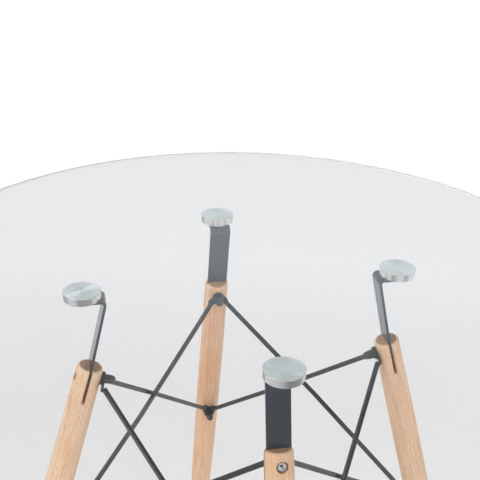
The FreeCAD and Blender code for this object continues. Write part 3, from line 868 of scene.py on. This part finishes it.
@dataclass(frozen=True)
class ClearBond:
    """Clear set adhesive, a little milky."""

    colour: Colour = (0.86, 0.90, 0.89)
    milky: float = 1.06
    rough: float = 0.12
    rough_gain: float = 2.0
    ior: float = 1.48
    clear: float = 0.45
    bubbles: Grain = (2600.0, 2.0, 0.5)
    bubble_span: Span = (0.5, 0.7)
    rough_span: Span = (0.3, 0.7)
    waves: Grain = (700.0, 2.0, 0.5)
    wave_bump: float = 0.1

    def material(self, name: str) -> bpy.types.Material:
        """Make the material.

        Args:
            name: Name of the material.

        Returns:
            The material, with a slight unevenness and fine bubbles.
        """
        base = {"Base Color": rgba(self.colour), "Roughness": self.rough, "IOR": self.ior,
                "Transmission Weight": self.clear}
        sketch = MaterialSketch(name, base)
        place = sketch.object_place()
        bubbles = sketch.noise(place, self.bubbles)
        share = sketch.spread(bubbles, *self.bubble_span)
        sketch.set(Base_Color=sketch.mix(share, rgba(self.colour), rgba(scaled(self.colour, self.milky))),
                   Roughness=sketch.spread(bubbles, *self.rough_span, self.rough,
                                           self.rough * self.rough_gain),
                   Normal=sketch.bump(sketch.noise(place, self.waves), self.wave_bump, FINE_BUMP))
        return sketch.material


@dataclass(frozen=True)
class MouldedPlastic:
    """Dull moulded plastic."""

    colour: Colour = (0.035, 0.033, 0.032)
    scuffed: float = 3.0
    rough: float = 0.55
    ior: float = 1.49
    grain: Grain = (2400.0, 2.0, 0.6)
    grain_bump: float = 0.25
    scuffs: Grain = (160.0, 4.0, 0.65)
    scuff_span: Span = (0.52, 0.78)

    def material(self, name: str) -> bpy.types.Material:
        """Make the material.

        Args:
            name: Name of the material.

        Returns:
            The material, with a fine spark-eroded grain and scuffs.
        """
        base = {"Base Color": rgba(self.colour), "Roughness": self.rough, "IOR": self.ior}
        sketch = MaterialSketch(name, base)
        place = sketch.object_place()
        grain = sketch.noise(place, self.grain)
        scuffs = sketch.spread(sketch.noise(place, self.scuffs), *self.scuff_span)
        pale = scaled(self.colour, self.scuffed)
        sketch.set(Base_Color=sketch.mix(scuffs, rgba(self.colour), rgba(pale)),
                   Normal=sketch.bump(grain, self.grain_bump, COARSE_BUMP))
        return sketch.material


def dress_node(node: str, material: bpy.types.Material) -> None:
    """Give one node of the model its material.

    Args:
        node: Name of the node.
        material: The material.
    """
    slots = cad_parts[node].data.materials
    slots.clear()
    slots.append(material)
    LOG.info("dressed %s in %s", node, material.name)


@dataclass
class GlassTop:
    """The round pane."""

    finish: ClearGlass = ClearGlass()

    def dress(self) -> None:
        """Give the pane its clear finish."""
        dress_node("glass_top", self.finish.material("clear_glass"))


@dataclass
class DiscMounts:
    """Discs bonded under the pane, their screws and the bent straps below them."""

    layout: Layout
    steel: TurnedMetal = TurnedMetal()
    screw: PlatedMetal = PlatedMetal((0.74, 0.74, 0.74), 0.16, 0.6)
    paint: StrapPaint = StrapPaint((0.009, 0.0155, 0.0230), 0.06, 0.03, 0.10)

    def dress(self) -> None:
        """Give discs, screws and straps their metal and paint."""
        strap_paint = self.paint.material("strap_black")
        for corner in Corner:
            place = self.layout.disc_frame(corner)
            steel = self.steel.material(f"disc_steel_{corner.label}", place)
            dress_node(f"disc_{corner.label}", steel)
            dress_node(f"strap_{corner.label}", strap_paint)
        dress_node("disc_screws", self.screw.material("screw_steel"))


@dataclass
class BondBeads:
    """The thin bead of adhesive that stands round each disc under the pane."""

    layout: Layout
    radius: float = 0.0198
    bead: float = 0.0003
    drop: float = 0.00025
    unevenness: float = 0.25
    blur: int = 6
    steps: int = 180
    sides: int = 10
    finish: ClearBond = ClearBond()

    def build(self) -> None:
        """Run a bead round every disc."""
        sizes = {"Ring Radius": self.radius, "Bead Radius": self.bead, "Drop": self.drop,
                 "Thinnest": 1.0 - self.unevenness, "Steps": self.steps, "Sides": self.sides,
                 "Seed": SEED}
        sketch = PatternSketch("bond_bead", sizes)
        ring = sketch.add("GeometryNodeCurvePrimitiveCircle", {
            "Resolution": sketch.inputs["Steps"], "Radius": sketch.inputs["Ring Radius"]})
        share = sketch.add("FunctionNodeRandomValue", {
            2: sketch.inputs["Thinnest"], 3: 1.0, "Seed": sketch.inputs["Seed"]}, data_type="FLOAT")
        smooth = sketch.add("GeometryNodeBlurAttribute", {
            "Value": share.outputs[1], "Iterations": self.blur}, data_type="FLOAT")
        uneven = sketch.add("GeometryNodeSetCurveRadius", {
            "Curve": ring.outputs[0], "Radius": smooth.outputs[0]})
        section = sketch.add("GeometryNodeCurvePrimitiveCircle", {
            "Resolution": sketch.inputs["Sides"], "Radius": sketch.inputs["Bead Radius"]})
        tube = sketch.add("GeometryNodeCurveToMesh", {
            "Curve": uneven.outputs[0], "Profile Curve": section.outputs[0]})
        height = sketch.maths("MULTIPLY", sketch.inputs["Drop"], -1.0)
        hung = sketch.moved(tube.outputs[0], height)
        smoothed = sketch.add("GeometryNodeSetShadeSmooth", {"Geometry": hung})
        sketch.close(smoothed.outputs[0])
        places = [self.layout.disc_frame(corner) for corner in Corner]
        sketch.make("bond_beads", "clear_glass", places, self.finish.material("clear_bond"))


@dataclass
class Legs:
    """The turned legs with their glides and nails."""

    layout: Layout
    wood: Beech = Beech()
    plastic: MouldedPlastic = MouldedPlastic()
    nail: PlatedMetal = PlatedMetal((0.62, 0.63, 0.64), 0.32, 0.8)

    def dress(self) -> None:
        """Give every leg its own figure, and the glides their plastic."""
        glide = self.plastic.material("glide_plastic")
        piths = {Corner.BACK_RIGHT: Vector((0.046, -0.030, -0.25)),
                 Corner.BACK_LEFT: Vector((-0.040, 0.034, -0.42)),
                 Corner.FRONT_LEFT: Vector((-0.055, -0.022, -0.60)),
                 Corner.FRONT_RIGHT: Vector((0.038, 0.041, -0.10))}
        # Each leg's tint is partly its board's own colour and partly painted light and shade that evens
        # out the lamps' light on the legs.
        board_and_light_tints = {Corner.BACK_RIGHT: (1.03, 1.05, 1.08), Corner.BACK_LEFT: (1.02, 0.95, 0.91),
                 Corner.FRONT_LEFT: (1.05, 1.11, 1.17), Corner.FRONT_RIGHT: (0.93, 0.96, 0.97)}
        for corner in Corner:
            wood = self.wood.material(f"beech_{corner.label}", self.layout.leg_frame(corner),
                                      piths[corner], board_and_light_tints[corner])
            dress_node(f"leg_{corner.label}", wood)
            dress_node(f"foot_glide_{corner.label}", glide)
        dress_node("glide_nails", self.nail.material("nail_steel"))


@dataclass
class LegBolts:
    """The bright bolts through the legs and the dark cap nuts inside."""

    layout: Layout
    chrome: SocketPlating = SocketPlating((0.60, 0.605, 0.62), 0.09, 0.5)
    paint: BlackPaint = BlackPaint((0.008, 0.010, 0.012), 0.12, 0.05, 0.03, 1.75)

    def dress(self) -> None:
        """Give the bolts their plating and the nuts their paint."""
        paint = self.paint.material("nut_black")
        for level in Level:
            plating = self.chrome.head_material(f"bolt_steel_{level.label}",
                                                self.layout.head_frame(level))
            dress_node(f"leg_bolts_{level.label}", plating)
            dress_node(f"cap_nuts_{level.label}", paint)


@dataclass
class HeadKnurls:
    """The straight knurl round the head of every leg bolt."""

    layout: Layout
    head_radius: float = 0.005
    ridge: float = 0.00022
    start: float = 0.0010
    length: float = 0.0042
    count: int = 40
    sides: int = 8
    finish: PlatedMetal = PlatedMetal((0.70, 0.70, 0.71), 0.14, 0.6)

    def build(self) -> None:
        """Set the ridges round the heads of both rows."""
        sizes = {"Head Radius": self.head_radius, "Ridge Radius": self.ridge, "Start": self.start,
                 "Length": self.length, "Count": self.count, "Sides": self.sides}
        sketch = PatternSketch("head_knurl", sizes)
        ring = sketch.add("GeometryNodeMeshCircle", {
            "Vertices": sketch.inputs["Count"], "Radius": sketch.inputs["Head Radius"]})
        bar = sketch.add("GeometryNodeMeshCylinder", {
            "Vertices": sketch.inputs["Sides"], "Radius": sketch.inputs["Ridge Radius"],
            "Depth": sketch.inputs["Length"]})
        middle = sketch.maths("MULTIPLY_ADD", sketch.inputs["Length"], -0.5,
                              sketch.maths("MULTIPLY", sketch.inputs["Start"], -1.0))
        sunk = sketch.moved(bar.outputs[0], middle)
        knurl = sketch.add("GeometryNodeInstanceOnPoints", {"Points": ring.outputs[0], "Instance": sunk})
        sketch.close(knurl.outputs[0])
        along = Matrix.Rotation(math.radians(90.0), 4, "Y")
        places = [self.layout.head_frame(level, corner) @ along
                  for level in Level for corner in Corner]
        sketch.make("head_knurls", "bolt_steel", places, self.finish.material("knurl_steel"))


@dataclass
class Braces:
    """The crossed rods on the four sides."""

    paint: BlackPaint = BlackPaint((0.0060, 0.0063, 0.0060), 0.06, 0.02, 0.03, 1.5)

    def dress(self) -> None:
        """Give the rods their paint."""
        paint = self.paint.material("rod_black")
        for side in Side:
            for layer in ("inner", "outer"):
                dress_node(f"brace_{side.value}_{layer}", paint)


@dataclass(frozen=True)
class SoftLamp:
    """One wide, far lamp that lights the whole floor alike.

    The direction is where the lamp stands, in degrees from +X and above the horizon.
    """

    name: str
    direction: float
    elevation: float
    spread: float
    level: float

    def build(self) -> None:
        """Make the lamp and turn it towards the table."""
        data = bpy.data.lights.new(self.name, "SUN")
        data.angle = math.radians(self.spread)
        data.energy = self.level * math.pi
        lamp = bpy.data.objects.new(self.name, data)
        lamp.rotation_euler = Euler((math.radians(90.0 - self.elevation), 0.0,
                                     math.radians(self.direction + 90.0)))
        bpy.context.scene.collection.objects.link(lamp)


@dataclass
class Studio:
    """Floor, surrounding light, lamps and camera."""

    floor_half: float = 60.0
    floor_colour: Colour = (0.84, 0.84, 0.84)
    floor_rough: float = 0.9
    floor_lift: float = 0.21
    shaded_near_lift: float = 0.16
    near_reach: Span = (1.6, 3.0)
    backward: Vector = Vector((-0.54, 0.84, 0.0))
    backward_span: Span = (-0.6, 0.6)
    sky: tuple[tuple[float, Colour], ...] = (
        (0.0, (1.0, 1.0, 1.0)), (0.20, (1.0, 1.0, 1.0)), (0.33, (0.72, 0.73, 0.74)),
        (0.45, (0.80, 0.88, 0.91)), (0.58, (0.26, 0.28, 0.29)), (0.64, (0.26, 0.28, 0.29)),
        (0.72, (0.52, 0.52, 0.52)), (1.0, (0.50, 0.50, 0.50)))
    lamps: tuple[SoftLamp, ...] = (
        SoftLamp("key_lamp", 228.0, 48.0, 20.0, 0.29),
        SoftLamp("left_lamp", 267.0, 12.0, 12.0, 0.18),
        SoftLamp("front_lamp", 330.0, 25.0, 12.0, 0.14),
        SoftLamp("right_lamp", 352.0, 4.0, 12.0, 0.15),
        SoftLamp("far_left_lamp", 160.0, 40.0, 16.0, 0.08),
        SoftLamp("far_right_lamp", 86.0, 40.0, 16.0, 0.08))
    camera_place: Vector = Vector((0.44721, -0.70197, 1.18805))
    camera_yaw: float = -32.973
    camera_pitch: float = 25.38
    camera_roll: float = 1.519
    lens: float = 64.80
    camera_reach: float = 200.0

    def build(self) -> None:
        """Build the whole studio."""
        self.build_floor()
        self.build_world()
        for lamp in self.lamps:
            lamp.build()
        self.build_camera()

    def build_floor(self) -> None:
        """Pale floor that keeps the table's shadow and reads white, but glows less near the table, which
        paints a soft shade round it.
        """
        reach = self.floor_half
        mesh = bpy.data.meshes.new("floor")
        mesh.from_pydata([(-reach, -reach, 0.0), (reach, -reach, 0.0), (reach, reach, 0.0),
                          (-reach, reach, 0.0)], [], [(0, 1, 2, 3)])
        floor = bpy.data.objects.new("floor", mesh)
        bpy.context.scene.collection.objects.link(floor)
        sketch = MaterialSketch("floor_pale", {
            "Base Color": rgba(self.floor_colour), "Roughness": self.floor_rough,
            "Specular IOR Level": 0.0})
        path = sketch.add("ShaderNodeLightPath").outputs
        # In reflections the floor glows only on the side away from the camera, so metal and glass mirror
        # a darker floor on the camera's side.
        behind = sketch.vector("DOT_PRODUCT", sketch.object_place(), self.backward).outputs["Value"]
        mirrored = sketch.maths("MULTIPLY", path["Is Glossy Ray"],
                                sketch.spread(behind, *self.backward_span))
        seen = sketch.maths("MAXIMUM", mirrored,
                            sketch.maths("MAXIMUM", path["Is Camera Ray"], path["Is Transmission Ray"]))
        away = sketch.vector("LENGTH", sketch.object_place()).outputs["Value"]
        # Less glow near the table: a painted shade round it.
        lift = sketch.spread(away, *self.near_reach, self.shaded_near_lift, self.floor_lift)
        sketch.set(Emission_Color=rgba((1.0, 1.0, 1.0)),
                   Emission_Strength=sketch.maths("MULTIPLY", seen, lift))
        mesh.materials.append(sketch.material)

    def build_world(self) -> None:
        """White at the horizon, and greyer in bands towards the top."""
        world = bpy.data.worlds.new("studio_world")
        world.use_nodes = True
        bpy.context.scene.world = world
        sketch = NodeSketch(world.node_tree)
        sketch.tree.nodes.clear()
        ways = sketch.add("ShaderNodeTexCoord").outputs["Generated"]
        colour = sketch.ramp(sketch.parts(ways)[2], self.sky)
        glow = sketch.add("ShaderNodeBackground", {"Color": colour, "Strength": 1.0})
        sketch.add("ShaderNodeOutputWorld", {"Surface": glow.outputs[0]})

    def build_camera(self) -> None:
        """Camera a little above the near edge, looking down across the pane."""
        yaw, pitch, roll = (math.radians(angle) for angle in (self.camera_yaw, self.camera_pitch,
                                                             self.camera_roll))
        ahead = Vector((math.sin(yaw) * math.cos(pitch), math.cos(yaw) * math.cos(pitch),
                        -math.sin(pitch)))
        level = ahead.cross(Vector((0.0, 0.0, 1.0))).normalized()
        upward = level.cross(ahead)
        right = level * math.cos(roll) + upward * math.sin(roll)
        top = upward * math.cos(roll) - level * math.sin(roll)
        data = bpy.data.cameras.new("camera")
        data.lens = self.lens
        data.clip_end = self.camera_reach
        camera = bpy.data.objects.new("camera", data)
        camera.matrix_world = Matrix.Translation(self.camera_place) @ Matrix(
            (right, top, -ahead)).transposed().to_4x4()
        scene = bpy.context.scene
        scene.collection.objects.link(camera)
        scene.camera = camera
        scene.view_settings.view_transform = "Standard"


def main() -> None:
    """Dress the table from the top down and set the studio round it."""
    logging.basicConfig(level=logging.INFO, format="%(name)s: %(message)s")
    layout = Layout()
    for assembly in (GlassTop(), DiscMounts(layout), Legs(layout), LegBolts(layout), Braces()):
        assembly.dress()
    for detail in (BondBeads(layout), HeadKnurls(layout)):
        detail.build()
    Studio().build()


if __name__ == "__main__":
    main()
